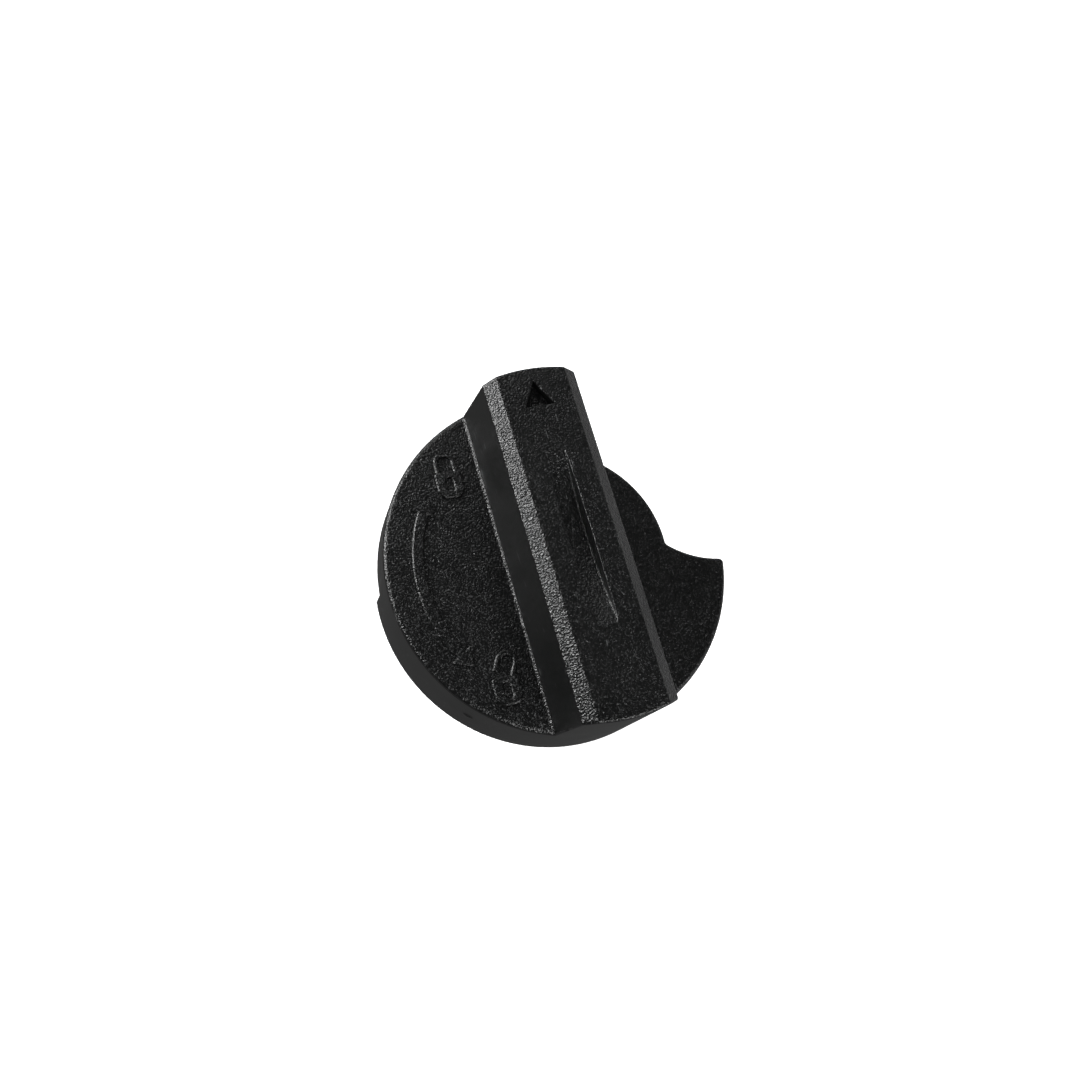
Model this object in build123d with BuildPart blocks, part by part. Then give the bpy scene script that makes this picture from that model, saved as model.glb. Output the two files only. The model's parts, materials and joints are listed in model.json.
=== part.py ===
"""Panel-mounted quarter-turn battery switch with a grip-bar knob, in millimetres.

The origin is on the knob's axis, in the plane of the panel's rear face.  +Z runs along the axis out
of the panel, and +Y runs along the grip bar to its pointer end.  The knob stands at its rest stop.
"""

from build123d import *
from math import atan, cos, degrees, radians, sin, sqrt, tan
import os

os.makedirs("parts", exist_ok=True)

# ---- Knob -------------------------------------------------------------------------------------
KNOB_DIAMETER = 35.0
KNOB_R = KNOB_DIAMETER / 2
PANEL_SPACE = 3.0  # thickest panel that the switch clamps
SKIRT_GAP = 0.6  # running gap from the panel to the skirt
SKIRT_DEPTH = 7.6
SKIRT_STEP = 2.7  # the skirt is this much shallower beside the pointer end
SKIRT_STEP_ANGLE = 175.5
SKIRT_BOTTOM = PANEL_SPACE + SKIRT_GAP
FLANGE_TOP = SKIRT_BOTTOM + SKIRT_DEPTH
KNOB_WALL = 1.8
RIM_ROUND = 0.45
NOTCH_R = 0.66 * KNOB_R
CORNER_ROUND = 0.5
NOTCH_SIDE_ANGLE = 70.0  # where the shallow skirt ends, inside the notch
SINK = 0.1  # how far one solid is sunk into the next, so that they join

GRIP_FOOT = 5.6  # half widths of the grip bar
GRIP_SHOULDER = 4.8
GRIP_TOP_FLAT = 3.5
GRIP_SHOULDER_HEIGHT = 6.1
GRIP_HEIGHT = 7.0
GRIP_TOP = FLANGE_TOP + GRIP_HEIGHT
GRIP_ROUND = 0.28
FOOT_ROUND = 0.3
FOOT_END = 16.2
FOOT_MIDDLE = 0.29 * FOOT_ROUND  # the middle of the foot's hollow round, out and up
FOOT_LEAN = 0.13 * FOOT_ROUND  # how far the bar's side leans in over the round
CORE_ROOF = FLANGE_TOP + 3.3
CORE_HALF_LENGTH = 14.0

SLOT_LENGTH = 17.5  # coin slot
SLOT_DEPTH = 1.3
SLOT_FLOOR = 1.08
SLOT_DRAFT = 5.0
SLOT_LIP = 0.12  # rounds along the slot's lips and its foot
SLOT_FOOT = 0.18

TRIANGLE_TIP = 0.918 * KNOB_R
TRIANGLE_BASE = 0.768 * KNOB_R
TRIANGLE_HALF = 0.085 * KNOB_R
TRIANGLE_DEPTH = 0.8
TRIANGLE_LIP = 0.1

RELIEF = 0.22  # height of the raised arrow and padlocks
ARROW_R = 0.81 * KNOB_R
ARROW_WIDTH = 0.065 * KNOB_R
ARROW_HALF_SWEEP = 30.0
ARROW_HEAD_SWEEP = 7.0
ARROW_BARB = 0.0715 * KNOB_R
MARK_BEVEL = 0.12
LOCK_X = -0.506 * KNOB_R
LOCK_Y = 0.547 * KNOB_R
UNLOCK_Y = -0.654 * KNOB_R
LOCK_WIDTH = 2.7
LOCK_HEIGHT = 2.75
LOCK_TOP_ROUND = 0.35
LOCK_BOTTOM_ROUND = 0.95
KEYHOLE_WIDTH = 0.75
KEYHOLE_HEIGHT = 1.6
SHACKLE_R = 1.12
SHACKLE_STROKE = 0.48
SHACKLE_LEG = 0.98
SHACKLE_FOOT = 0.25  # how far the legs run on into the lock's body
UNLOCK_SWING = 30.0  # the open shackle turns this far about its right leg

# ---- Turning works ------------------------------------------------------------------------------
SPINDLE_R = 3.0
SPINDLE_TIP = FLANGE_TOP + 3.4
SPINDLE_FLAT = 2.3
SPINDLE_FIT = 0.06
SPINDLE_CHAMFER = 0.4
SPINDLE_END_GAP = 0.2
SHOULDER_R = 4.4
SHOULDER_TOP = -3.7
SHOULDER_THICKNESS = 1.5
DRIVE_SQUARE = 4.4
DRIVE_BOTTOM = -9.6
DRIVE_FIT = 0.05
DRIVE_CORNER = 0.3
BOSS_R = 4.8
BOSS_BOTTOM = 9.2
FLAT_START = BOSS_BOTTOM - 0.1
KNOB_CLIP_THICKNESS = 0.4
KNOB_CLIP_WIDTH = 2.4
KNOB_CLIP_GAP = 0.2
KNOB_CLIP_CHAMFER = 0.3

SEAL_GROOVE_Z = 4.0
SEAL_GROOVE_WIDTH = 1.3
SEAL_GROOVE_R = 2.1
SEAL_SECTION_R = 0.46
GROOVE_FIT = 0.02
CIRCLIP_Z = 8.3
CIRCLIP_THICKNESS = 0.6
CIRCLIP_GROOVE_R = 2.5
CIRCLIP_R = 4.4
CIRCLIP_MOUTH = 4.0
CIRCLIP_CORNER = 0.3

ROTOR_R = 7.6
ROTOR_TOP = -5.9
ROTOR_BOTTOM = -12.9
BRIDGE_SLOT_TOP = -10.6
BRIDGE_SLOT_FIT = 0.15
ROTOR_CHAMFER = 0.3
STOP_LUG_R = 9.2
STOP_LUG_HALF = 12.0
STOP_TRAVEL = 90.0
STOP_LUG_TOP = -6.2
STOP_LUG_HEIGHT = 2.2

CLICK_INNER_R = 4.9
CLICK_THICKNESS = 0.4
CLICK_ARCH_IN = 5.2
CLICK_ARCH_OUT = 7.2
CLICK_ARCH_HALF = 3.2
CLICK_DEPTH = 0.4  # how far an arch stands in its dimple
CLICK_RIM = 0.3  # from the ring's edge to the rotor's
DIMPLE_FIT = 0.03
DIMPLE_END = 0.2

BRIDGE_LENGTH = 14.6
BRIDGE_WIDTH = 3.6
BRIDGE_THICKNESS = 1.0
BRIDGE_CHAMFER = 0.2
BRIDGE_GAP = 0.03  # from the contact heads to the bridge
CONTACT_SPRING_Y = 4.2
CONTACT_SPRING_TOP = -7.0
CONTACT_SPRING_R = 1.3
CONTACT_SPRING_INNER_R = 0.8
SPRING_POCKET_R = 1.5

# ---- Fixed works --------------------------------------------------------------------------------
BUSH_R = 5.95
BUSH_TOP = 8.2
BUSH_TAIL_R = 5.0
BUSH_CHAMFER = 0.5
GASKET_THICKNESS = 1.0
GASKET_INNER_R = 6.2
GASKET_OUTER_R = 10.0
HOUSING_R = 11.6
HOUSING_BOTTOM = -15.0
HOUSING_ROUND = 0.6
TOP_PLATE = 2.0
CAVITY_R = 8.3
STOP_RECESS_R = 9.5
STOP_SLACK = 0.6
STOP_HEADROOM = 0.3
PIP_R = 0.9
PIP_RADIUS_OUT = 8.1
PIP_HEIGHT = 1.6
EDGE_GAP = 0.1  # clearance round loose washers and gaskets
THRUST_R = 4.8
THRUST_THICKNESS = 0.65

WASHER_R = 9.0
WASHER_THICKNESS = 0.8
WASHER_NOTCHES = 12
WASHER_NOTCH_LENGTH = 2.4
WASHER_NOTCH_WIDTH = 1.1
NUT_FLATS = 15.0
NUT_HEIGHT = 2.8
NUT_BORE_R = 6.0
NUT_CORNER_CUT = 0.1
NUT_CHAMFER = 0.3

COVER_GASKET = 0.6
COVER_ROUND = 0.5
COVER_FLANGE = 2.6
COVER_SPIGOT_R = 8.2
COVER_SPIGOT = 1.2
BARRIER_THICKNESS = 1.2
BARRIER_LENGTH = 13.0
BARRIER_HEIGHT = 4.8
BARRIER_ROUND = 0.5
SCREW_CIRCLE_R = 9.95
SCREW_R = 0.8
SCREW_HOLE_R = 1.0
SCREW_HEAD_R = 1.6
SCREW_HEAD = 1.2
SCREW_DEPTH = 5.0
SCREW_TIP_GAP = 1.0
SCREW_CHAMFER = 0.3
SCREW_CROSS_LENGTH = 1.7
SCREW_CROSS_WIDTH = 0.4
SCREW_CROSS_DEPTH = 0.6

STUD_X = 5.2
STUD_SHANK_R = 1.95
STUD_R = 2.0
STUD_HEAD_R = 2.3
STUD_HEAD = 1.2
STUD_HEAD_CHAMFER = 0.2
STUD_END = -27.0
STUD_CHAMFER = 0.4
SHANK_END_GAP = 0.4  # from the nut's foot to the end of the shank
STUD_WASHER_R = 4.2
STUD_WASHER = 0.8
SPRING_WASHER_R = 3.6
SPRING_WASHER = 0.6
SPRING_SPLIT_WIDTH = 0.4
SPRING_SPLIT_LENGTH = 2.2
SPRING_SPLIT_TURN = 25
STUD_NUT_FLATS = 7.0
STUD_NUT = 3.2

PLATE_TOP = -GASKET_THICKNESS
PLATE_BOTTOM = PLATE_TOP - TOP_PLATE
COVER_TOP = HOUSING_BOTTOM - COVER_GASKET
COVER_BOTTOM = COVER_TOP - COVER_FLANGE
SPIGOT_TOP = COVER_TOP + COVER_SPIGOT
CONTACT_TOP = SPIGOT_TOP + STUD_HEAD
BRIDGE_BOTTOM = CONTACT_TOP + BRIDGE_GAP
BRIDGE_TOP = BRIDGE_BOTTOM + BRIDGE_THICKNESS


def on_circle(radius, angle):
    """The point at a radius and an angle in degrees from +X."""
    return (radius * cos(radians(angle)), radius * sin(radians(angle)))


def save(piece, name):
    """Labels a finished piece and writes it as its own file."""
    piece.part.label = name
    export_step(piece.part, f"parts/{name}.step")


# ---- Knob: flange, skirt, grip bar, coin slot and raised marks -----------------------------------
NOTCH_START = (0.655 * KNOB_R, -0.045 * KNOB_R)
NOTCH_MIDDLE = (0.800 * KNOB_R, -0.147 * KNOB_R)
NOTCH_END = (0.985 * KNOB_R, -0.204 * KNOB_R)
NOTCH_FAR = 1.2 * KNOB_R
NOTCH_CORNER = (GRIP_FOOT, sqrt(NOTCH_R**2 - GRIP_FOOT**2))
SLOT_DISC_R = (SLOT_LENGTH**2 / 4 + SLOT_DEPTH**2) / (2 * SLOT_DEPTH)
SLOT_MOUTH = SLOT_FLOOR + SLOT_DISC_R * tan(radians(SLOT_DRAFT))
SIDE_DRAFT = degrees(atan((GRIP_FOOT - GRIP_SHOULDER) / GRIP_SHOULDER_HEIGHT))

with BuildPart() as grip_bar:
    with BuildSketch(Plane.XZ):
        Polygon((-GRIP_FOOT, FLANGE_TOP - 1), (GRIP_FOOT, FLANGE_TOP - 1), (GRIP_FOOT, FLANGE_TOP),
                (GRIP_SHOULDER, FLANGE_TOP + GRIP_SHOULDER_HEIGHT), (GRIP_TOP_FLAT, GRIP_TOP),
                (-GRIP_TOP_FLAT, GRIP_TOP), (-GRIP_SHOULDER, FLANGE_TOP + GRIP_SHOULDER_HEIGHT),
                (-GRIP_FOOT, FLANGE_TOP), align=None)
    extrude(amount=KNOB_R, both=True)
    with BuildSketch(Plane.XY.offset(FLANGE_TOP - 1)):
        Circle(KNOB_R)
    extrude(amount=GRIP_HEIGHT + 1, mode=Mode.INTERSECT)
    end_edges = grip_bar.edges().filter_by(
        lambda edge: abs(edge.center().Y) > 0.8 * KNOB_R and edge.center().Z > FLANGE_TOP - 0.9)
    long_edges = grip_bar.edges().filter_by(Axis.Y).filter_by(
        lambda edge: edge.center().Z > FLANGE_TOP + 1)
    fillet(end_edges + long_edges, GRIP_ROUND)

with BuildPart() as knob:
    with BuildSketch(Plane.XY.offset(SKIRT_BOTTOM)) as outline:
        Circle(KNOB_R)
        with BuildLine():
            ThreePointArc(NOTCH_START, NOTCH_MIDDLE, NOTCH_END)
            Polyline(NOTCH_END, (NOTCH_FAR, NOTCH_END[1]), (NOTCH_FAR, NOTCH_FAR),
                     (GRIP_FOOT, NOTCH_FAR), NOTCH_CORNER)
            ThreePointArc(NOTCH_CORNER, on_circle(NOTCH_R, 28.0), NOTCH_START)
        make_face(mode=Mode.SUBTRACT)
        tip = outline.vertices().sort_by_distance((*on_circle(KNOB_R, -11.9), SKIRT_BOTTOM))[0]
        inner = outline.vertices().sort_by_distance((*NOTCH_START, SKIRT_BOTTOM))[0]
        fillet([tip, inner], CORNER_ROUND)
    extrude(amount=SKIRT_DEPTH)
    fillet(knob.faces().sort_by(Axis.Z)[-1].edges(), RIM_ROUND)
    add(grip_bar.part)

    # Small hollow rounds along the bar's feet: the whole left foot, and the right one to the notch.
    for side, far_end in ((-1, FOOT_END), (1, NOTCH_CORNER[1])):
        with BuildSketch(Plane.XZ.offset(-far_end)):
            with BuildLine():
                Polyline((side * (GRIP_FOOT - FOOT_ROUND), FLANGE_TOP + FOOT_ROUND),
                         (side * (GRIP_FOOT - FOOT_ROUND), FLANGE_TOP - SINK),
                         (side * (GRIP_FOOT + FOOT_ROUND), FLANGE_TOP - SINK),
                         (side * (GRIP_FOOT + FOOT_ROUND), FLANGE_TOP))
                ThreePointArc((side * (GRIP_FOOT + FOOT_ROUND), FLANGE_TOP),
                              (side * (GRIP_FOOT + FOOT_MIDDLE), FLANGE_TOP + FOOT_MIDDLE),
                              (side * (GRIP_FOOT - FOOT_LEAN), FLANGE_TOP + FOOT_ROUND))
                Line((side * (GRIP_FOOT - FOOT_LEAN), FLANGE_TOP + FOOT_ROUND),
                     (side * (GRIP_FOOT - FOOT_ROUND), FLANGE_TOP + FOOT_ROUND))
            make_face()
        extrude(amount=far_end + FOOT_END)

    # Hollow underside: an offset of the outline, and a core up the grip bar round the spindle boss.
    with BuildSketch(Plane.XY.offset(SKIRT_BOTTOM)):
        offset(outline.sketch, amount=-KNOB_WALL, mode=Mode.ADD)
    extrude(amount=SKIRT_DEPTH - KNOB_WALL, mode=Mode.SUBTRACT)
    with BuildSketch(Plane.XY.offset(FLANGE_TOP - KNOB_WALL)):
        Rectangle(2 * (GRIP_FOOT - KNOB_WALL), 2 * CORE_HALF_LENGTH)
    extrude(amount=CORE_ROOF - FLANGE_TOP + KNOB_WALL, taper=SIDE_DRAFT, mode=Mode.SUBTRACT)
    with BuildSketch(Plane.XY.offset(BOSS_BOTTOM)):
        Circle(BOSS_R)
    extrude(amount=CORE_ROOF - BOSS_BOTTOM)
    with BuildSketch(Plane.XY.offset(BOSS_BOTTOM)):
        Circle(SPINDLE_R + DRIVE_FIT)
        with Locations((SPINDLE_FLAT + KNOB_CLIP_THICKNESS + 2 * DRIVE_FIT + SPINDLE_R, 0)):
            Rectangle(2 * SPINDLE_R, 4 * SPINDLE_R, mode=Mode.SUBTRACT)
    extrude(amount=SPINDLE_TIP + SPINDLE_END_GAP - BOSS_BOTTOM, mode=Mode.SUBTRACT)

    # The skirt is shallower from the left round to the pointer end.
    with BuildSketch(Plane.XY.offset(SKIRT_BOTTOM)):
        with BuildLine():
            Line((0, 0), on_circle(2 * KNOB_R, NOTCH_SIDE_ANGLE))
            Polyline(on_circle(2 * KNOB_R, NOTCH_SIDE_ANGLE), on_circle(2 * KNOB_R, 120.0),
                     on_circle(2 * KNOB_R, SKIRT_STEP_ANGLE), (0, 0))
        make_face()
    extrude(amount=SKIRT_STEP, mode=Mode.SUBTRACT)

    # Coin slot: a tapered disc sunk into the grip's top, so its floor is an arc.
    with BuildSketch(Plane.XY.offset(GRIP_TOP - SLOT_DEPTH + SLOT_DISC_R)):
        Polygon((-SLOT_MOUTH, 0), (SLOT_MOUTH, 0), (SLOT_FLOOR, -SLOT_DISC_R),
                (-SLOT_FLOOR, -SLOT_DISC_R), align=None)
    revolve(axis=Axis((0, 0, GRIP_TOP - SLOT_DEPTH + SLOT_DISC_R), (1, 0, 0)),
            revolution_arc=360, mode=Mode.SUBTRACT)

    # Pointer triangle, sunk.
    with BuildSketch(Plane.XY.offset(GRIP_TOP)):
        Polygon((0, TRIANGLE_TIP), (-TRIANGLE_HALF, TRIANGLE_BASE), (TRIANGLE_HALF, TRIANGLE_BASE),
                align=None)
    extrude(amount=-TRIANGLE_DEPTH, taper=4, mode=Mode.SUBTRACT)

    slot_feet = knob.edges().filter_by(
        lambda edge: abs(abs(edge.center().X) - SLOT_FLOOR) < SINK and abs(edge.center().Y) < 1
        and FLANGE_TOP + 1 < edge.center().Z < GRIP_TOP and edge.length > SLOT_LENGTH / 2)
    fillet(slot_feet, SLOT_FOOT)
    slot_lips = knob.edges().filter_by(
        lambda edge: abs(edge.center().Z - GRIP_TOP) < SINK and abs(edge.center().Y) < SLOT_LENGTH / 2 + SINK
        and abs(edge.center().X) < SLOT_MOUTH)
    fillet(slot_lips, SLOT_LIP)
    triangle_lips = knob.edges().filter_by(
        lambda edge: abs(edge.center().Z - GRIP_TOP) < SINK and abs(edge.center().X) < TRIANGLE_HALF
        and TRIANGLE_BASE - SINK < edge.center().Y < TRIANGLE_TIP)
    fillet(triangle_lips, TRIANGLE_LIP)

    # Double-headed arrow round the left of the flange.
    with BuildSketch(Plane.XY.offset(FLANGE_TOP - SINK)):
        for side in (1, -1):
            barb = 180 - side * ARROW_HALF_SWEEP
            Polygon(on_circle(ARROW_R, barb - side * ARROW_HEAD_SWEEP),
                    on_circle(ARROW_R - ARROW_BARB, barb), on_circle(ARROW_R + ARROW_BARB, barb),
                    align=None)
        with BuildLine():
            CenterArc((0, 0), ARROW_R, 180 - ARROW_HALF_SWEEP, 2 * ARROW_HALF_SWEEP)
            offset(amount=ARROW_WIDTH / 2, kind=Kind.ARC, side=Side.BOTH)
        make_face()
    extrude(amount=RELIEF + SINK)

    # Closed padlock by the pointer end and open padlock by the tail end.
    for centre_y, swing in ((LOCK_Y, 0.0), (UNLOCK_Y, UNLOCK_SWING)):
        leg_x = SHACKLE_R - SHACKLE_STROKE / 2
        right_leg = (LOCK_X + leg_x, centre_y + LOCK_HEIGHT / 2)
        shackle_plane = Plane.XY.offset(FLANGE_TOP - SINK) * Pos(*right_leg) * Rot(0, 0, -swing)
        with BuildSketch(Plane.XY.offset(FLANGE_TOP - SINK)) as lock_body:
            with Locations((LOCK_X, centre_y)):
                Rectangle(LOCK_WIDTH, LOCK_HEIGHT)
                fillet(lock_body.vertices().group_by(Axis.Y)[-1], LOCK_TOP_ROUND)
                fillet(lock_body.vertices().group_by(Axis.Y)[0], LOCK_BOTTOM_ROUND)
                SlotOverall(KEYHOLE_HEIGHT, KEYHOLE_WIDTH, rotation=90, mode=Mode.SUBTRACT)
        extrude(amount=RELIEF + SINK)
        with BuildSketch(shackle_plane):
            with Locations((-leg_x, SHACKLE_LEG)):
                Circle(SHACKLE_R)
                Rectangle(2 * SHACKLE_R, SHACKLE_LEG + SHACKLE_FOOT, align=(Align.CENTER, Align.MAX))
                Circle(SHACKLE_R - SHACKLE_STROKE, mode=Mode.SUBTRACT)
                Rectangle(2 * (SHACKLE_R - SHACKLE_STROKE), 2 * SHACKLE_LEG,
                          align=(Align.CENTER, Align.MAX), mode=Mode.SUBTRACT)
        extrude(amount=RELIEF + SINK)
    mark_edges = knob.edges().filter_by(
        lambda edge: abs(edge.center().Z - FLANGE_TOP - RELIEF) < SINK / 2 and edge.center().X < LOCK_X / 2)
    chamfer(mark_edges, MARK_BEVEL)
save(knob, "knob")


# ---- Knob clip: a spring strip between the spindle's flat and the knob's bore -------------------
CLIP_X = SPINDLE_FLAT + DRIVE_FIT

with BuildPart() as knob_clip:
    with BuildSketch(Plane.XY.offset(FLAT_START + KNOB_CLIP_GAP)):
        with Locations((CLIP_X, 0)):
            Rectangle(KNOB_CLIP_THICKNESS, KNOB_CLIP_WIDTH, align=(Align.MIN, Align.CENTER))
    extrude(amount=SPINDLE_TIP - FLAT_START - 2 * KNOB_CLIP_GAP)
    chamfer(knob_clip.edges().filter_by(Axis.X), KNOB_CLIP_CHAMFER)
save(knob_clip, "knob_clip")

# ---- Spindle: D-flat for the knob, seal groove, circlip groove, shoulder and drive square --------
with BuildPart() as spindle:
    with BuildSketch(Plane.XZ):
        Polygon((0, SHOULDER_TOP - SHOULDER_THICKNESS), (SHOULDER_R, SHOULDER_TOP - SHOULDER_THICKNESS),
                (SHOULDER_R, SHOULDER_TOP), (SPINDLE_R, SHOULDER_TOP), (SPINDLE_R, SPINDLE_TIP),
                (0, SPINDLE_TIP), align=None)
    revolve(axis=Axis.Z)
    chamfer(spindle.faces().sort_by(Axis.Z)[-1].edges(), SPINDLE_CHAMFER)
    for groove_z, groove_width, groove_r in (
        (SEAL_GROOVE_Z, SEAL_GROOVE_WIDTH, SEAL_GROOVE_R),
        (CIRCLIP_Z + CIRCLIP_THICKNESS / 2, CIRCLIP_THICKNESS + 2 * GROOVE_FIT, CIRCLIP_GROOVE_R),
    ):
        with BuildSketch(Plane.XY.offset(groove_z - groove_width / 2)):
            Circle(SPINDLE_R + 1)
            Circle(groove_r, mode=Mode.SUBTRACT)
        extrude(amount=groove_width, mode=Mode.SUBTRACT)
    with BuildSketch(Plane.XY.offset(FLAT_START)):
        with Locations((SPINDLE_FLAT, 0)):
            Rectangle(SPINDLE_R, 3 * SPINDLE_R, align=(Align.MIN, Align.CENTER))
    extrude(amount=SPINDLE_TIP - FLAT_START, mode=Mode.SUBTRACT)
    with BuildSketch(Plane.XY.offset(DRIVE_BOTTOM)):
        RectangleRounded(DRIVE_SQUARE, DRIVE_SQUARE, DRIVE_CORNER)
    extrude(amount=SHOULDER_TOP - DRIVE_BOTTOM)
save(spindle, "spindle")

# ---- Spindle seal: an O-ring in its groove -------------------------------------------------------
with BuildPart() as spindle_seal:
    with BuildSketch(Plane.XZ):
        with Locations((SEAL_GROOVE_R + SEAL_SECTION_R + GROOVE_FIT / 2, SEAL_GROOVE_Z)):
            Circle(SEAL_SECTION_R)
    revolve(axis=Axis.Z)
save(spindle_seal, "spindle_seal")

# ---- Circlip above the bush ----------------------------------------------------------------------
with BuildPart() as circlip:
    with BuildSketch(Plane.XY.offset(CIRCLIP_Z)):
        Circle(CIRCLIP_R)
        Circle(CIRCLIP_GROOVE_R + GROOVE_FIT, mode=Mode.SUBTRACT)
        with Locations((0, -CIRCLIP_R)):
            Rectangle(CIRCLIP_MOUTH, 2 * CIRCLIP_R, mode=Mode.SUBTRACT)
    extrude(amount=CIRCLIP_THICKNESS)
    fillet(circlip.edges().filter_by(Axis.Z), CIRCLIP_CORNER)
save(circlip, "circlip")

# ---- Rotor: drive socket, spring pockets, bridge slot and stop lug -------------------------------
STOP_MIDDLE = STOP_TRAVEL / 2

with BuildPart() as rotor:
    with BuildSketch(Plane.XY.offset(ROTOR_BOTTOM)):
        Circle(ROTOR_R)
    extrude(amount=ROTOR_TOP - ROTOR_BOTTOM)
    chamfer(rotor.faces().sort_by(Axis.Z)[-1].edges(), ROTOR_CHAMFER)
    with BuildSketch(Plane.XY.offset(STOP_LUG_TOP - STOP_LUG_HEIGHT)):
        with BuildLine():
            Line((0, 0), on_circle(STOP_LUG_R, STOP_MIDDLE - STOP_LUG_HALF))
            CenterArc((0, 0), STOP_LUG_R, STOP_MIDDLE - STOP_LUG_HALF, 2 * STOP_LUG_HALF)
            Line(on_circle(STOP_LUG_R, STOP_MIDDLE + STOP_LUG_HALF), (0, 0))
        make_face()
    extrude(amount=STOP_LUG_HEIGHT)
    with BuildSketch(Plane.XY.offset(ROTOR_BOTTOM)):
        Rectangle(BRIDGE_WIDTH + 2 * BRIDGE_SLOT_FIT, 3 * ROTOR_R)
    extrude(amount=BRIDGE_SLOT_TOP - ROTOR_BOTTOM, mode=Mode.SUBTRACT)
    with BuildSketch(Plane.XY.offset(DRIVE_BOTTOM)):
        Rectangle(DRIVE_SQUARE + 2 * DRIVE_FIT, DRIVE_SQUARE + 2 * DRIVE_FIT)
    extrude(amount=ROTOR_TOP - DRIVE_BOTTOM, mode=Mode.SUBTRACT)
    with BuildSketch(Plane.XY.offset(BRIDGE_SLOT_TOP)):
        with Locations((0, CONTACT_SPRING_Y), (0, -CONTACT_SPRING_Y)):
            Circle(SPRING_POCKET_R)
    extrude(amount=CONTACT_SPRING_TOP - BRIDGE_SLOT_TOP, mode=Mode.SUBTRACT)
save(rotor, "rotor")

# ---- Click spring: a flat ring with two arches that rest in the housing's dimples ----------------
ARCH_TOP = PLATE_BOTTOM + CLICK_DEPTH

with BuildPart() as click_spring:
    with BuildSketch(Plane.XY.offset(ROTOR_TOP)):
        Circle(ROTOR_R - CLICK_RIM)
        Circle(CLICK_INNER_R, mode=Mode.SUBTRACT)
    extrude(amount=CLICK_THICKNESS)
    with BuildSketch(Plane.YZ.offset(-CLICK_ARCH_OUT)):
        with BuildLine():
            ThreePointArc((-CLICK_ARCH_HALF, ROTOR_TOP), (0, ARCH_TOP), (CLICK_ARCH_HALF, ROTOR_TOP))
            Line((CLICK_ARCH_HALF, ROTOR_TOP), (CLICK_ARCH_HALF - CLICK_THICKNESS, ROTOR_TOP))
            ThreePointArc((CLICK_ARCH_HALF - CLICK_THICKNESS, ROTOR_TOP), (0, ARCH_TOP - CLICK_THICKNESS),
                          (CLICK_THICKNESS - CLICK_ARCH_HALF, ROTOR_TOP))
            Line((CLICK_THICKNESS - CLICK_ARCH_HALF, ROTOR_TOP), (-CLICK_ARCH_HALF, ROTOR_TOP))
        make_face()
    extrude(amount=CLICK_ARCH_OUT - CLICK_ARCH_IN)
    mirror(click_spring.part, about=Plane.YZ)
save(click_spring, "click_spring")

# ---- Contact springs and contact bridge ----------------------------------------------------------
with BuildPart() as contact_springs:
    with BuildSketch(Plane.XY.offset(BRIDGE_TOP)):
        with Locations((0, CONTACT_SPRING_Y), (0, -CONTACT_SPRING_Y)):
            Circle(CONTACT_SPRING_R)
            Circle(CONTACT_SPRING_INNER_R, mode=Mode.SUBTRACT)
    extrude(amount=CONTACT_SPRING_TOP - BRIDGE_TOP)
save(contact_springs, "contact_springs")

with BuildPart() as contact_bridge:
    with BuildSketch(Plane.XY.offset(BRIDGE_BOTTOM)):
        SlotOverall(BRIDGE_LENGTH, BRIDGE_WIDTH, rotation=90)
    extrude(amount=BRIDGE_THICKNESS)
    chamfer(contact_bridge.faces().sort_by(Axis.Z)[0].edges(), BRIDGE_CHAMFER)
save(contact_bridge, "contact_bridge")

# ---- Threaded bush, thrust washer, panel gasket, washer and nut ----------------------------------
with BuildPart() as threaded_bush:
    with BuildSketch(Plane.XY.offset(PLATE_BOTTOM)):
        Circle(BUSH_TAIL_R)
    extrude(amount=TOP_PLATE)
    with BuildSketch(Plane.XY.offset(PLATE_TOP)):
        Circle(BUSH_R)
    extrude(amount=BUSH_TOP - PLATE_TOP)
    chamfer(threaded_bush.faces().sort_by(Axis.Z)[-1].edges(), BUSH_CHAMFER)
    with Locations((0, 0, BUSH_TOP)):
        Hole(SPINDLE_R + SPINDLE_FIT)
save(threaded_bush, "threaded_bush")

with BuildPart() as thrust_washer:
    with BuildSketch(Plane.XY.offset(PLATE_BOTTOM - THRUST_THICKNESS)):
        Circle(THRUST_R)
        Circle(SPINDLE_R + SPINDLE_FIT, mode=Mode.SUBTRACT)
    extrude(amount=THRUST_THICKNESS)
save(thrust_washer, "thrust_washer")

with BuildPart() as panel_gasket:
    with BuildSketch(Plane.XY.offset(PLATE_TOP)):
        Circle(GASKET_OUTER_R)
        Circle(GASKET_INNER_R, mode=Mode.SUBTRACT)
        with Locations((0, PIP_RADIUS_OUT)):
            Circle(PIP_R + EDGE_GAP, mode=Mode.SUBTRACT)
    extrude(amount=GASKET_THICKNESS)
save(panel_gasket, "panel_gasket")

with BuildPart() as lock_washer:
    with BuildSketch(Plane.XY.offset(PANEL_SPACE)):
        Circle(WASHER_R)
        Circle(NUT_BORE_R + EDGE_GAP, mode=Mode.SUBTRACT)
        with PolarLocations(WASHER_R, WASHER_NOTCHES):
            SlotOverall(WASHER_NOTCH_LENGTH, WASHER_NOTCH_WIDTH, mode=Mode.SUBTRACT)
    extrude(amount=WASHER_THICKNESS)
save(lock_washer, "lock_washer")


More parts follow.
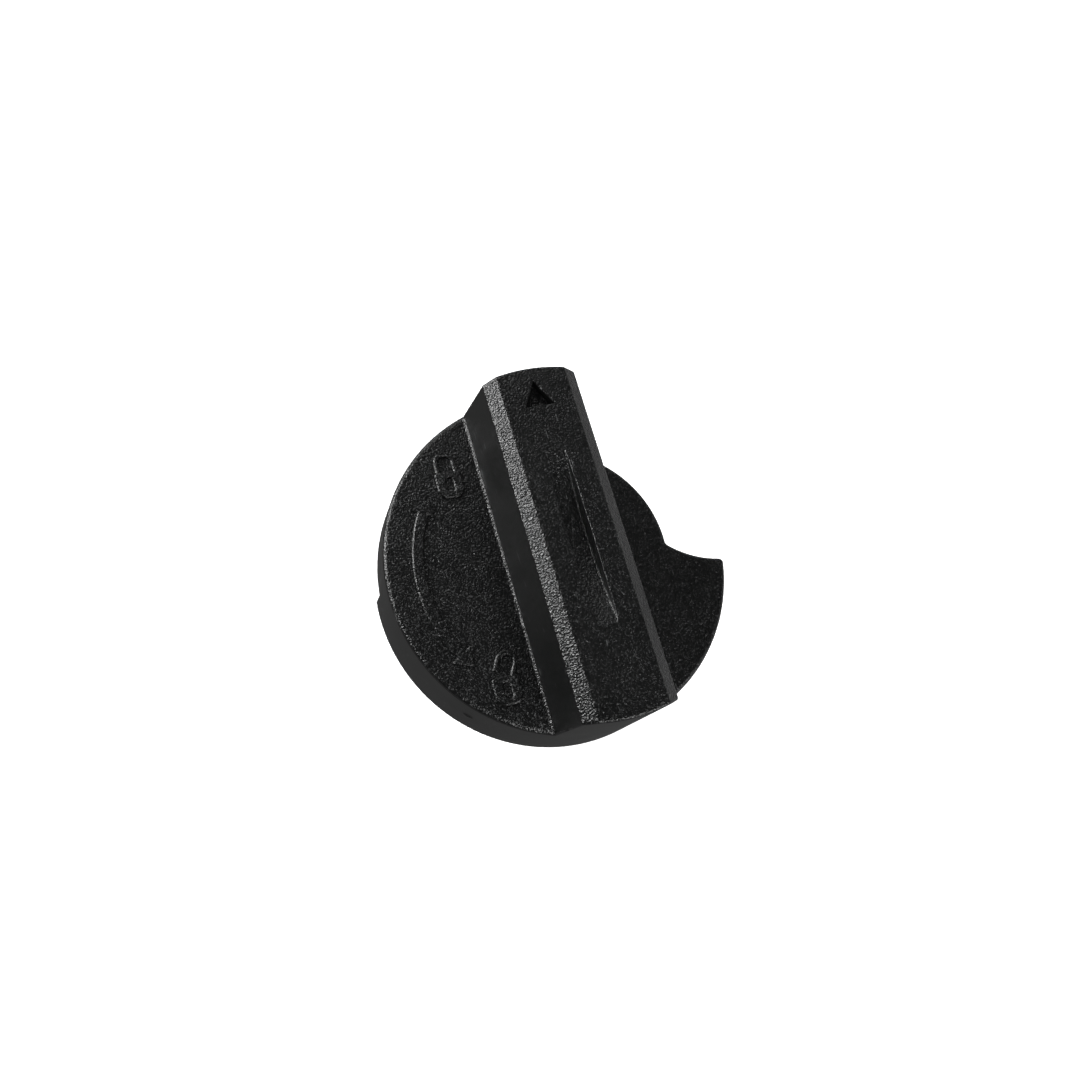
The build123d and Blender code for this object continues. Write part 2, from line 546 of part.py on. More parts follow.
def hexagon_nut(flats, height, bore_r, bottom):
    """A hexagon nut on the Z axis that stands at a height, with its corners turned off."""
    with BuildPart() as nut:
        with BuildSketch(Plane.XY.offset(bottom)):
            RegularPolygon(flats / 2, 6, major_radius=False, rotation=30)
            Circle(bore_r, mode=Mode.SUBTRACT)
        extrude(amount=height)
        with BuildSketch(Plane.XY.offset(bottom)):
            Circle(flats / sqrt(3) - NUT_CORNER_CUT)
        extrude(amount=height, mode=Mode.INTERSECT)
        rims = nut.edges().filter_by(GeomType.CIRCLE).filter_by(
            lambda edge: abs(edge.radius - bore_r) < 0.01)
        chamfer(rims, NUT_CHAMFER)
    return nut


panel_nut = hexagon_nut(NUT_FLATS, NUT_HEIGHT, NUT_BORE_R, PANEL_SPACE + WASHER_THICKNESS)
save(panel_nut, "panel_nut")

# ---- Housing: top plate with four click dimples, cavity and stop recess --------------------------
DIMPLE_R = (CLICK_ARCH_HALF**2 + (ARCH_TOP - ROTOR_TOP) ** 2) / (2 * (ARCH_TOP - ROTOR_TOP)) + DIMPLE_FIT
RECESS_HALF = STOP_MIDDLE + STOP_LUG_HALF + STOP_SLACK

with BuildPart() as housing:
    with BuildSketch(Plane.XY.offset(HOUSING_BOTTOM)):
        Circle(HOUSING_R)
    extrude(amount=PLATE_TOP - HOUSING_BOTTOM)
    fillet(housing.faces().sort_by(Axis.Z)[-1].edges(), HOUSING_ROUND)
    with BuildSketch(Plane.XY.offset(HOUSING_BOTTOM)):
        Circle(CAVITY_R)
    extrude(amount=PLATE_BOTTOM - HOUSING_BOTTOM, mode=Mode.SUBTRACT)
    with BuildSketch(Plane.XY.offset(HOUSING_BOTTOM)):
        with BuildLine():
            Line((0, 0), on_circle(STOP_RECESS_R, -RECESS_HALF))
            CenterArc((0, 0), STOP_RECESS_R, -RECESS_HALF, 2 * RECESS_HALF)
            Line(on_circle(STOP_RECESS_R, RECESS_HALF), (0, 0))
        make_face()
    extrude(amount=STOP_LUG_TOP + STOP_HEADROOM - HOUSING_BOTTOM, mode=Mode.SUBTRACT)
    with Locations((0, 0, PLATE_TOP)):
        Hole(BUSH_TAIL_R)
    for across in (Plane.XZ, Plane.YZ):
        with BuildSketch(across.offset(-CLICK_ARCH_OUT - DIMPLE_END)):
            with Locations((0, ARCH_TOP + DIMPLE_FIT - DIMPLE_R)):
                Circle(DIMPLE_R)
        extrude(amount=2 * (CLICK_ARCH_OUT + DIMPLE_END), mode=Mode.SUBTRACT)
    with BuildSketch(Plane.XY.offset(PLATE_TOP)):
        with Locations((0, PIP_RADIUS_OUT)):
            Circle(PIP_R)
    extrude(amount=PIP_HEIGHT + GASKET_THICKNESS)
    with Locations((0, SCREW_CIRCLE_R, HOUSING_BOTTOM), (0, -SCREW_CIRCLE_R, HOUSING_BOTTOM)):
        Cylinder(SCREW_R, 2 * SCREW_DEPTH, mode=Mode.SUBTRACT)
save(housing, "housing")

# ---- Cover gasket, base cover and cover screws ---------------------------------------------------
SCREW_PLACES = ((0, SCREW_CIRCLE_R), (0, -SCREW_CIRCLE_R))
STUD_PLACES = ((-STUD_X, 0), (STUD_X, 0))

with BuildPart() as cover_gasket:
    with BuildSketch(Plane.XY.offset(COVER_TOP)):
        Circle(HOUSING_R - 2 * EDGE_GAP)
        Circle(CAVITY_R + EDGE_GAP, mode=Mode.SUBTRACT)
        with Locations(*SCREW_PLACES):
            Circle(SCREW_HOLE_R, mode=Mode.SUBTRACT)
    extrude(amount=COVER_GASKET)
save(cover_gasket, "cover_gasket")

with BuildPart() as base_cover:
    with BuildSketch(Plane.XY.offset(COVER_BOTTOM)):
        Circle(HOUSING_R)
    extrude(amount=COVER_FLANGE)
    fillet(base_cover.faces().sort_by(Axis.Z)[0].edges(), COVER_ROUND)
    with BuildSketch(Plane.XY.offset(COVER_TOP)):
        Circle(COVER_SPIGOT_R)
    extrude(amount=COVER_SPIGOT)
    with BuildSketch(Plane.XY.offset(COVER_BOTTOM)):
        RectangleRounded(BARRIER_THICKNESS, BARRIER_LENGTH, BARRIER_ROUND)
    extrude(amount=-BARRIER_HEIGHT)
    with BuildSketch(Plane.XY.offset(COVER_BOTTOM)):
        with Locations(*STUD_PLACES):
            Circle(STUD_R)
        with Locations(*SCREW_PLACES):
            Circle(SCREW_HOLE_R)
    extrude(amount=COVER_FLANGE + COVER_SPIGOT, mode=Mode.SUBTRACT)
save(base_cover, "base_cover")

with BuildPart() as cover_screws:
    with BuildSketch(Plane.XY.offset(COVER_BOTTOM)):
        with Locations(*SCREW_PLACES):
            Circle(SCREW_R)
    extrude(amount=SCREW_DEPTH + COVER_FLANGE + COVER_GASKET - SCREW_TIP_GAP)
    with BuildSketch(Plane.XY.offset(COVER_BOTTOM)):
        with Locations(*SCREW_PLACES):
            Circle(SCREW_HEAD_R)
    extrude(amount=-SCREW_HEAD)
    chamfer(cover_screws.faces().sort_by(Axis.Z)[:2].edges(), SCREW_CHAMFER)
    for turn in (20, -65):
        with BuildSketch(Plane.XY.offset(COVER_BOTTOM - SCREW_HEAD)):
            with Locations(*SCREW_PLACES):
                Rectangle(SCREW_CROSS_LENGTH, SCREW_CROSS_WIDTH, rotation=turn)
        extrude(amount=SCREW_CROSS_DEPTH, mode=Mode.SUBTRACT)
save(cover_screws, "cover_screws")

# ---- Terminal studs with their fixed contact heads, washers and nuts -----------------------------
NUT_TOP = COVER_BOTTOM - STUD_WASHER - SPRING_WASHER
NUT_BOTTOM = NUT_TOP - STUD_NUT
SHANK_END = NUT_BOTTOM - SHANK_END_GAP

for stud_name, stud_x in (("battery_stud", -STUD_X), ("load_stud", STUD_X)):
    with BuildPart() as stud:
        with BuildSketch(Plane.XY.offset(SPIGOT_TOP)):
            with Locations((stud_x, 0)):
                Circle(STUD_HEAD_R)
        extrude(amount=STUD_HEAD)
        chamfer(stud.faces().sort_by(Axis.Z)[-1].edges(), STUD_HEAD_CHAMFER)
        with BuildSketch(Plane.XY.offset(SHANK_END)):
            with Locations((stud_x, 0)):
                Circle(STUD_SHANK_R)
        extrude(amount=SPIGOT_TOP - SHANK_END)
        with BuildSketch(Plane.XY.offset(STUD_END)):
            with Locations((stud_x, 0)):
                Circle(STUD_R)
        extrude(amount=SHANK_END - STUD_END)
        chamfer(stud.faces().sort_by(Axis.Z)[0].edges(), STUD_CHAMFER)
    save(stud, stud_name)

with BuildPart() as stud_washers:
    with BuildSketch(Plane.XY.offset(COVER_BOTTOM)):
        with Locations(*STUD_PLACES):
            Circle(STUD_WASHER_R)
            Circle(STUD_R + EDGE_GAP, mode=Mode.SUBTRACT)
    extrude(amount=-STUD_WASHER)
save(stud_washers, "stud_washers")

with BuildPart() as spring_washers:
    with BuildSketch(Plane.XY.offset(COVER_BOTTOM - STUD_WASHER)):
        with Locations(*STUD_PLACES):
            Circle(SPRING_WASHER_R)
            Circle(STUD_R + EDGE_GAP, mode=Mode.SUBTRACT)
        with Locations(*[(x, (SPRING_WASHER_R + STUD_R) / 2) for x, _ in STUD_PLACES]):
            Rectangle(SPRING_SPLIT_WIDTH, SPRING_SPLIT_LENGTH, rotation=SPRING_SPLIT_TURN,
                      mode=Mode.SUBTRACT)
    extrude(amount=-SPRING_WASHER)
save(spring_washers, "spring_washers")

stud_nut = hexagon_nut(STUD_NUT_FLATS, STUD_NUT, STUD_R, NUT_BOTTOM)

with BuildPart() as stud_nuts:
    with Locations(*STUD_PLACES):
        add(stud_nut.part)
save(stud_nuts, "stud_nuts")
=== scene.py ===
"""Looks of a panel-mounted quarter-turn battery switch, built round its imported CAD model.

Every object is in metres, in the frame of the CAD model: the origin lies on the knob's axis in the
plane of the panel's rear face, +Z runs out of the panel and +Y along the grip bar to its pointer end.
"""

import json
import logging
import math
from dataclasses import dataclass
from enum import Enum

import bpy
import numpy as np
from mathutils import Matrix, Vector

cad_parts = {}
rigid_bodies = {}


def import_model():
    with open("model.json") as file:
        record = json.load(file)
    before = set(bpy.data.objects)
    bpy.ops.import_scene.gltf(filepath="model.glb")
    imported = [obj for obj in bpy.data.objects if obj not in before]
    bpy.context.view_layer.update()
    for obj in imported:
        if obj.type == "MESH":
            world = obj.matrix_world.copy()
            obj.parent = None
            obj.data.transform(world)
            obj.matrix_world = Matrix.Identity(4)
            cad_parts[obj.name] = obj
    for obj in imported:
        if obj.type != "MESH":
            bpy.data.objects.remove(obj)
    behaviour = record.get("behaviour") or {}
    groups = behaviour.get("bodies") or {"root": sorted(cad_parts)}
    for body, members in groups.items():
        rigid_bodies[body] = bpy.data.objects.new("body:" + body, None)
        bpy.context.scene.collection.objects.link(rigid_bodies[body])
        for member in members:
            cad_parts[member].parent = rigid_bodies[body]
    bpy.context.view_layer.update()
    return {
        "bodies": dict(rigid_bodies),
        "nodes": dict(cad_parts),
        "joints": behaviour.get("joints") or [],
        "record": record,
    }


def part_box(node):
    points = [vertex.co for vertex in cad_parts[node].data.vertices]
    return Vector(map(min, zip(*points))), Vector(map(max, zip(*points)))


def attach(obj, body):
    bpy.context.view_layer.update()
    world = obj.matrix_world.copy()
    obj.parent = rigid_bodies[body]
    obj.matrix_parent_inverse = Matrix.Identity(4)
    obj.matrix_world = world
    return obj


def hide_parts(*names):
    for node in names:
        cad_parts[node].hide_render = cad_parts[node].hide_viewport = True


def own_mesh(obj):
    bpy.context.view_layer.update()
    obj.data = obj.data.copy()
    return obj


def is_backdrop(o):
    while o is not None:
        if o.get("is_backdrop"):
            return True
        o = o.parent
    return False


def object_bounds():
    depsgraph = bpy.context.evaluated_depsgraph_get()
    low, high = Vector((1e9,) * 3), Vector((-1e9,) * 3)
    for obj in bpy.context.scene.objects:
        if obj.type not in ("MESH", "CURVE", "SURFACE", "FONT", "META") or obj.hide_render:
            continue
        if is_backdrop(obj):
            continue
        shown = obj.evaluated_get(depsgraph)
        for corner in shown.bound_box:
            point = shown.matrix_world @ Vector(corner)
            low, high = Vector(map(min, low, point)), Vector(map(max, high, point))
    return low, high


LOG = logging.getLogger("battery_switch")
MM = 0.001
TURN = 2.0 * math.pi
TINY = 1e-9  # metres, for comparing lengths
COLOUR_A, COLOUR_B, MIXED_COLOUR = 6, 7, 2  # the colour sockets of a Mix node


# ---- Shader building ----------------------------------------------------------------------------


class Wire:
    """A shader socket that takes part in Python arithmetic by adding Math nodes."""

    def __init__(self, bench: "Bench", socket: bpy.types.NodeSocket) -> None:
        """Keeps the socket and the bench that owns it."""
        self.bench = bench
        self.socket = socket

    def _math(self, operation: str, *terms: object) -> "Wire":
        """Adds one Math node.

        Args:
            operation: the Math node's operation.
            terms: wires or numbers for its inputs, in order.

        Returns:
            The node's result.
        """
        return self.bench.node("ShaderNodeMath", {"operation": operation}, dict(enumerate(terms)))

    def __add__(self, other: object) -> "Wire":
        """self + other."""
        return self._math("ADD", self, other)

    def __radd__(self, other: object) -> "Wire":
        """other + self."""
        return self._math("ADD", other, self)

    def __sub__(self, other: object) -> "Wire":
        """self - other."""
        return self._math("SUBTRACT", self, other)

    def __rsub__(self, other: object) -> "Wire":
        """other - self."""
        return self._math("SUBTRACT", other, self)

    def __mul__(self, other: object) -> "Wire":
        """self * other."""
        return self._math("MULTIPLY", self, other)

    def __rmul__(self, other: object) -> "Wire":
        """other * self."""
        return self._math("MULTIPLY", other, self)

    def __pow__(self, other: object) -> "Wire":
        """self to the power other."""
        return self._math("POWER", self, other)

    def size(self) -> "Wire":
        """The value without its sign."""
        return self._math("ABSOLUTE", self)

    def least(self, other: object) -> "Wire":
        """The smaller of self and other."""
        return self._math("MINIMUM", self, other)

    def most(self, other: object) -> "Wire":
        """The larger of self and other."""
        return self._math("MAXIMUM", self, other)

    def step(self, low: float, high: float) -> "Wire":
        """A smooth step of the value.

        Args:
            low: where the step is 0.
            high: where the step is 1; it may be under low for a falling step.

        Returns:
            A wire from 0 to 1.
        """
        flip = low > high
        rise = self.bench.node(
            "ShaderNodeMapRange",
            {"interpolation_type": "SMOOTHSTEP"},
            {"Value": self, "From Min": min(low, high), "From Max": max(low, high)},
        )
        return 1.0 - rise if flip else rise


class Bench:
    """One node tree, of a material or of the world, and the single method that adds nodes to it."""

    def __init__(self, owner: bpy.types.Material | bpy.types.World) -> None:
        """Empties the owner's node tree and puts its coordinates in."""
        owner.use_nodes = True
        self.owner = owner
        self.tree = owner.node_tree
        self.tree.nodes.clear()
        coordinates = self.tree.nodes.new("ShaderNodeTexCoord")
        self.place = Wire(self, coordinates.outputs["Object"])
        self.facing = Wire(self, coordinates.outputs["Normal"])

    @classmethod
    def for_material(cls, name: str) -> "Bench":
        """A bench on a new material."""
        return cls(bpy.data.materials.new(name))

    def node(self, kind: str, settings: dict | None = None, inputs: dict | None = None,
             output: str | int = 0) -> Wire:
        """Adds a node.

        Args:
            kind: the node's Blender type.
            settings: its properties, which are set first.
            inputs: socket name or number to a wire or a plain value.
            output: the socket to hand back.

        Returns:
            The chosen output as a wire.
        """
        made = self.tree.nodes.new(kind)
        for key, value in (settings or {}).items():
            setattr(made, key, value)
        for key, value in (inputs or {}).items():
            if isinstance(value, Wire):
                self.tree.links.new(value.socket, made.inputs[key])
            else:
                made.inputs[key].default_value = value
        return Wire(self, made.outputs[output])

    def noise(self, grain: float, detail: float = 2.0, rough: float = 0.5,
              stretch: tuple[float, float, float] = (1.0, 1.0, 1.0)) -> Wire:
        """Cloudy noise on the object's own coordinates.

        Args:
            grain: the size of its features in metres.
            detail: octaves of finer noise.
            rough: how strong the finer octaves are.
            stretch: how much longer the features are along X, Y and Z.

        Returns:
            The noise, from 0 to 1 about 0.5.
        """
        vector = self.place
        if stretch != (1.0, 1.0, 1.0):
            scale = tuple(1.0 / s for s in stretch)
            vector = self.node("ShaderNodeMapping", {}, {"Vector": vector, "Scale": scale})
        return self.node("ShaderNodeTexNoise", {"noise_dimensions": "3D"},
                         {"Vector": vector, "Scale": 1.0 / grain, "Detail": detail, "Roughness": rough})

    def rings(self, grain: float, detail: float, rough: float, height: Wire | float) -> Wire:
        """Noise of the radius about the object's Z axis and a height, so that it runs in rings.

        Args:
            grain: the size of its features in metres.
            detail: octaves of finer noise.
            rough: how strong the finer octaves are.
            height: the second coordinate.

        Returns:
            The noise, from 0 to 1 about 0.5.
        """
        x, y = self.axis(self.place, "X"), self.axis(self.place, "Y")
        turned = self.node("ShaderNodeCombineXYZ", {}, {"X": (x * x + y * y) ** 0.5, "Y": height, "Z": 0.0})
        return self.node("ShaderNodeTexNoise", {"noise_dimensions": "2D"},
                         {"Vector": turned, "Scale": 1.0 / grain, "Detail": detail, "Roughness": rough})

    def axis(self, vector: Wire, name: str) -> Wire:
        """The X, Y or Z part of a vector."""
        return self.node("ShaderNodeSeparateXYZ", {}, {"Vector": vector}, name)

    def blend(self, amount: Wire, first: tuple, second: tuple) -> Wire:
        """Mixes two colours.

        Args:
            amount: 0 for the first colour and 1 for the second.
            first: a colour.
            second: a colour.

        Returns:
            The mixed colour.
        """
        return self.node("ShaderNodeMix", {"data_type": "RGBA"},
                         {0: amount, COLOUR_A: (*first, 1.0), COLOUR_B: (*second, 1.0)}, MIXED_COLOUR)

    def bump(self, height: Wire, depth: float) -> Wire:
        """Turns a height into a surface normal.

        Args:
            height: the relief, from 0 to 1.
            depth: metres that a height of 1 stands up.

        Returns:
            The normal.
        """
        inputs = {"Height": height, "Distance": depth, "Strength": 1.0}
        return self.node("ShaderNodeBump", {}, inputs, "Normal")

    def finish(self, colour: Wire | tuple, roughness: Wire | float, normal: Wire | None = None,
               metallic: float = 0.0, specular: float = 0.5, extra: dict | None = None) -> bpy.types.Material:
        """Closes the tree with a Principled shader.

        Args:
            colour: base colour.
            roughness: roughness.
            normal: the surface normal, if there is relief.
            metallic: 1 for metal.
            specular: the Principled specular level.
            extra: plain values for further sockets.

        Returns:
            The finished material.
        """
        if not isinstance(colour, Wire):
            colour = (*colour, 1.0)
        inputs = {"Base Color": colour, "Roughness": roughness, "Metallic": metallic,
                  "Specular IOR Level": specular}
        if normal is not None:
            inputs["Normal"] = normal
        inputs |= extra or {}
        self.close("ShaderNodeOutputMaterial", self.node("ShaderNodeBsdfPrincipled", {}, inputs, "BSDF"))
        return self.owner

    def close(self, kind: str, shader: Wire) -> None:
        """Links a shader to a new output node of that kind."""
        output = self.tree.nodes.new(kind)
        self.tree.links.new(shader.socket, output.inputs["Surface"])


# ---- Finishes -----------------------------------------------------------------------------------


@dataclass(frozen=True)
class EtchedPlastic:
    """Black moulded nylon: spark-etched grain on faces that look up, smoother drawn walls, and glints painted
    into the colour of the etched faces.
    """

    name: str = "knob_etched_plastic"
    tint: tuple[float, float, float] = (0.0020, 0.0022, 0.0022)
    # The pale colour of specks and lint, which also paints glints into the base colour: a painted highlight
    # on the etched faces.
    dust_and_painted_glint: tuple[float, float, float] = (0.14, 0.145, 0.145)
    lint: float = 1.6 * MM  # how long a caught fibre is
    grain: float = 0.18 * MM
    pit_depth: float = 0.14 * MM
    face_roughness: float = 0.31
    wall_roughness: float = 0.36
    wall_share: float = 0.06  # of the relief that is left on a drawn wall
    wall_tilt: float = 0.30  # the normal's Z under which a face is a drawn wall
    face_tilt: float = 0.60  # the normal's Z over which a face is fully etched
    coarse_share: float = 0.2  # of the relief that is in coarser pits
    coarse_grain: float = 3.5  # their size, in grains
    drag_grain: float = 0.35 * MM  # drag marks on the walls, drawn out along Z
    drag_stretch: float = 14.0
    drag_share: float = 0.02
    patch_grain: float = 5.5 * MM  # cloudy places with more or less painted glint, and rougher or smoother
    # glint_band, glint_least and glint_patches set the painted glints: pale base colour standing in for
    # highlights on the etched faces.
    glint_band: tuple[float, float] = (0.60, 0.69)
    glint_least: float = 0.02
    glint_patches: float = 0.6
    glint_gloss: float = 0.12  # how much less rough a glint is
    speck_grain: float = 0.24 * MM
    speck_band: tuple[float, float] = (0.73, 0.80)
    speck_share: float = 0.22
    lint_width: float = 0.16 * MM
    lint_band: tuple[float, float] = (0.80, 0.86)
    lint_share: float = 0.6
    patch_roughness: float = 0.12

    def make(self) -> bpy.types.Material:
        """Builds the material: etched grain, faint drag marks on walls, pale specks and lint, and painted
        glints in the base colour.
        """
        bench = Bench.for_material(self.name)
        upward = bench.axis(bench.facing, "Z").size()
        etched = upward.step(self.wall_tilt, self.face_tilt)
        fine = bench.noise(self.grain, 1.0, 0.5)
        coarse = bench.noise(self.grain * self.coarse_grain, 2.0, 0.5)
        pits = fine * (1.0 - self.coarse_share) + coarse * self.coarse_share
        drag = bench.noise(self.drag_grain, 2.0, 0.5, (1.0, 1.0, self.drag_stretch))
        relief = (pits * (etched * (1.0 - self.wall_share) + self.wall_share)
                  + drag * (1.0 - etched) * self.drag_share)
        patches = bench.noise(self.patch_grain, 3.0, 0.55)
        # glint marks where highlights are painted into the base colour below, and also where the surface is
        # less rough.
        glint = bench.noise(self.grain, 1.0, 0.4).step(*self.glint_band) * etched
        specks = bench.noise(self.speck_grain, 1.0, 0.4).step(*self.speck_band) * etched
        drawn_out = (1.0, self.lint / self.lint_width, 1.0)
        lint = bench.noise(self.lint_width, 0.0, 0.5, drawn_out).step(*self.lint_band)
        # pale is the share of the pale colour: painted glints, plus pale specks and lint.
        pale = (glint * (patches * self.glint_patches + self.glint_least)
                + specks * self.speck_share + lint * self.lint_share)
        colour = bench.blend(pale.least(1.0), self.tint, self.dust_and_painted_glint)
        roughness = etched * (self.face_roughness - self.wall_roughness) + self.wall_roughness
        roughness += (patches - 0.5) * self.patch_roughness - glint * self.glint_gloss
        return bench.finish(colour, roughness, bench.bump(relief, self.pit_depth))


@dataclass(frozen=True)
class FilledNylon:
    """Dark glass-filled nylon: short pale fibres, flow marks and a dull sheen."""

    name: str
    tint: tuple[float, float, float]
    fibre: tuple[float, float, float]
    roughness: float = 0.52

    def make(self) -> bpy.types.Material:
        """Builds the material: stretched fibre flecks over slow flow marks."""
        bench = Bench.for_material(self.name)
        flecks = bench.noise(0.14 * MM, 2.0, 0.6, (5.0, 1.0, 1.0)).step(0.60, 0.72)
        cross = bench.noise(0.15 * MM, 2.0, 0.6, (1.0, 1.0, 5.0)).step(0.62, 0.74)
        flow = bench.noise(4.0 * MM, 3.0, 0.6, (1.0, 1.0, 2.5))
        fibres = flecks.most(cross)
        colour = bench.blend((fibres * 0.5 + flow.step(0.4, 0.8) * 0.25).least(1.0), self.tint, self.fibre)
        relief = fibres * 0.6 + bench.noise(0.09 * MM, 2.0) * 0.4
        normal = bench.bump(relief, 0.012 * MM)
        return bench.finish(colour, self.roughness + (flow - 0.5) * 0.2, normal)


@dataclass(frozen=True)
class TurnedMetal:
    """Turned and plated metal: fine rings round the axis, stains and rubbed bright places."""

    name: str
    tint: tuple[float, float, float]
    stain: tuple[float, float, float]
    roughness: float = 0.28
    ring: float = 0.07 * MM

    def make(self) -> bpy.types.Material:
        """Builds the material: ring noise of the radius and height, and cloudy stains."""
        bench = Bench.for_material(self.name)
        rings = bench.rings(self.ring, 2.0, 0.6, bench.axis(bench.place, "Z"))
        stains = bench.noise(1.6 * MM, 4.0, 0.62)
        pitting = bench.noise(0.12 * MM, 2.0, 0.5).step(0.66, 0.8)
        worn = (stains.step(0.42, 0.72) * 0.7 + pitting * 0.3).least(1.0)
        colour = bench.blend(worn, self.tint, self.stain)
        normal = bench.bump(rings * 0.8 - pitting * 0.2, 0.006 * MM)
        roughness = self.roughness + (stains - 0.5) * 0.22 + pitting * 0.15
        return bench.finish(colour, roughness, normal, metallic=1.0)


@dataclass(frozen=True)
class RolledMetal:
    """Rolled or blanked strip: long fine grain, a few scratches and dull stains."""

    name: str
    tint: tuple[float, float, float]
    stain: tuple[float, float, float]
    roughness: float = 0.33
    along: tuple[float, float, float] = (1.0, 12.0, 1.0)

    def make(self) -> bpy.types.Material:
        """Builds the material: noise stretched along the strip over cloudy stains."""
        bench = Bench.for_material(self.name)
        grain = bench.noise(0.06 * MM, 3.0, 0.6, self.along)
        stains = bench.noise(1.2 * MM, 4.0, 0.65)
        scratches = bench.noise(0.10 * MM, 1.0, 0.4, (9.0, 2.0, 1.0)).step(0.70, 0.76)
        colour = bench.blend((stains.step(0.4, 0.75) * 0.75).least(1.0), self.tint, self.stain)
        normal = bench.bump(grain - scratches * 0.6, 0.005 * MM)
        return bench.finish(colour, self.roughness + (stains - 0.5) * 0.25, normal, metallic=1.0)


@dataclass(frozen=True)
class MouldedRubber:
    """Nitrile rubber: a dry bloom in patches and a fine tooled skin."""

    name: str = "seal_nitrile"
    tint: tuple[float, float, float] = (0.012, 0.012, 0.012)
    bloom: tuple[float, float, float] = (0.060, 0.060, 0.058)

    def make(self) -> bpy.types.Material:
        """Builds the material: cloudy bloom over a fine skin."""
        bench = Bench.for_material(self.name)
        bloom = bench.noise(1.8 * MM, 4.0, 0.65).step(0.45, 0.8)
        skin = bench.noise(0.08 * MM, 2.0, 0.6)
        colour = bench.blend(bloom * 0.6, self.tint, self.bloom)
        return bench.finish(colour, 0.62 + bloom * 0.2, bench.bump(skin, 0.010 * MM), specular=0.35)


@dataclass(frozen=True)
class NaturalPolymer:
    """Uncoloured acetal or nylon: slightly yellowed, with rubbed grey marks where it runs."""

    name: str
    tint: tuple[float, float, float]
    rub: tuple[float, float, float] = (0.30, 0.28, 0.25)

    def make(self) -> bpy.types.Material:
        """Builds the material: slow yellowing and rings of rubbed wear."""
        bench = Bench.for_material(self.name)
        rubbed = bench.rings(0.5 * MM, 3.0, 0.6, 0.0)
        cloud = bench.noise(2.5 * MM, 3.0, 0.5)
        wear = (rubbed.step(0.52, 0.78) * 0.35 + cloud.step(0.5, 0.85) * 0.15).least(1.0)
        skin = bench.noise(0.10 * MM, 2.0, 0.55)
        colour = bench.blend(wear, self.tint, self.rub)
        return bench.finish(colour, 0.42 + (cloud - 0.5) * 0.15, bench.bump(skin, 0.008 * MM))


class Finish(Enum):
    """Every finish on the switch, by what it is made of."""

    KNOB = EtchedPlastic()
    HOUSING = FilledNylon("housing_filled_nylon", (0.020, 0.021, 0.023), (0.085, 0.085, 0.085))
    COVER = FilledNylon("cover_filled_nylon", (0.026, 0.025, 0.024), (0.095, 0.092, 0.088), 0.58)
    ROTOR = NaturalPolymer("rotor_acetal", (0.66, 0.63, 0.55))
    THRUST = NaturalPolymer("thrust_nylon", (0.72, 0.69, 0.60))
    SEAL = MouldedRubber()
    BUSH = TurnedMetal("bush_nickel_brass", (0.74, 0.71, 0.62), (0.52, 0.46, 0.33), 0.26)
    NUT = TurnedMetal("nut_nickel_brass", (0.72, 0.69, 0.60), (0.50, 0.44, 0.32), 0.30, 0.11 * MM)
    SPINDLE = TurnedMetal("spindle_stainless", (0.62, 0.62, 0.63), (0.44, 0.43, 0.42), 0.24)
    STUD = TurnedMetal("stud_tinned_brass", (0.76, 0.62, 0.36), (0.46, 0.33, 0.16), 0.30)
    ZINC = RolledMetal("zinc_plate", (0.64, 0.66, 0.69), (0.48, 0.47, 0.42), 0.34, (3.0, 3.0, 1.0))
    SPRING = RolledMetal("spring_steel", (0.46, 0.46, 0.48), (0.30, 0.28, 0.26), 0.30)
    COPPER = RolledMetal("contact_copper", (0.80, 0.44, 0.30), (0.42, 0.20, 0.12), 0.30)


class FinishRack:
    """Makes each finish once and lends it to every piece that needs it."""

    def __init__(self) -> None:
        """Starts with no material made."""
        self._made: dict[Finish, bpy.types.Material] = {}

    def take(self, finish: Finish) -> bpy.types.Material:
        """The material of a finish, made on its first use."""
        if finish not in self._made:
            self._made[finish] = finish.value.make()
        return self._made[finish]


# ---- Mesh building ------------------------------------------------------------------------------


def mesh_piece(name: str, points: np.ndarray, faces: np.ndarray, caps: tuple = ()) -> bpy.types.Object:
    """Puts points and quads into a new mesh object at the origin.

    Args:
        name: the piece's name.
        points: n by 3 array of metres.
        faces: m by 4 array of point numbers, facing outwards.
        caps: further faces, each a sequence of point numbers.

    Returns:
        The smooth-shaded object, linked to the scene.
    """
    mesh = bpy.data.meshes.new(name)
    mesh.from_pydata(points.tolist(), [], faces.tolist() + [list(cap) for cap in caps])
    mesh.validate()
    mesh.update()
    mesh.polygons.foreach_set("use_smooth", np.ones(len(mesh.polygons), dtype=bool))
    piece = bpy.data.objects.new(name, mesh)
    bpy.context.scene.collection.objects.link(piece)
    return piece


def grid_quads(rows: int, columns: int, wrap_rows: bool) -> np.ndarray:
    """Quads of a grid whose columns close on themselves.

    Each quad joins point (i, j) to (i, j+1), (i+1, j+1) and (i+1, j), with j taken round the seam.

    Args:
        rows: number of rows of points.
        columns: number of points in a row.
        wrap_rows: whether the last row joins the first as well.

    Returns:
        An array of point numbers, one quad a line.
    """
    i = np.arange(rows if wrap_rows else rows - 1)[:, None]
    j = np.arange(columns)[None, :]
    below, above = i * columns, ((i + 1) % rows) * columns
    right = (j + 1) % columns
    return np.stack([below + j, below + right, above + right, above + j], axis=-1).reshape(-1, 4)


def pole_fans(rows: int, columns: int) -> tuple[tuple[int, int, int], ...]:
    """Triangles that close a grid's first and last rows at two poles numbered straight after it.

    Args:
        rows: number of rows of points.
        columns: number of points in a row.

    Returns:
        The triangles round the first pole, then those round the last.
    """
    first, last_row = rows * columns, (rows - 1) * columns
    start = tuple((first, (j + 1) % columns, j) for j in range(columns))
    end = tuple((first + 1, last_row + j, last_row + (j + 1) % columns) for j in range(columns))
    return start + end


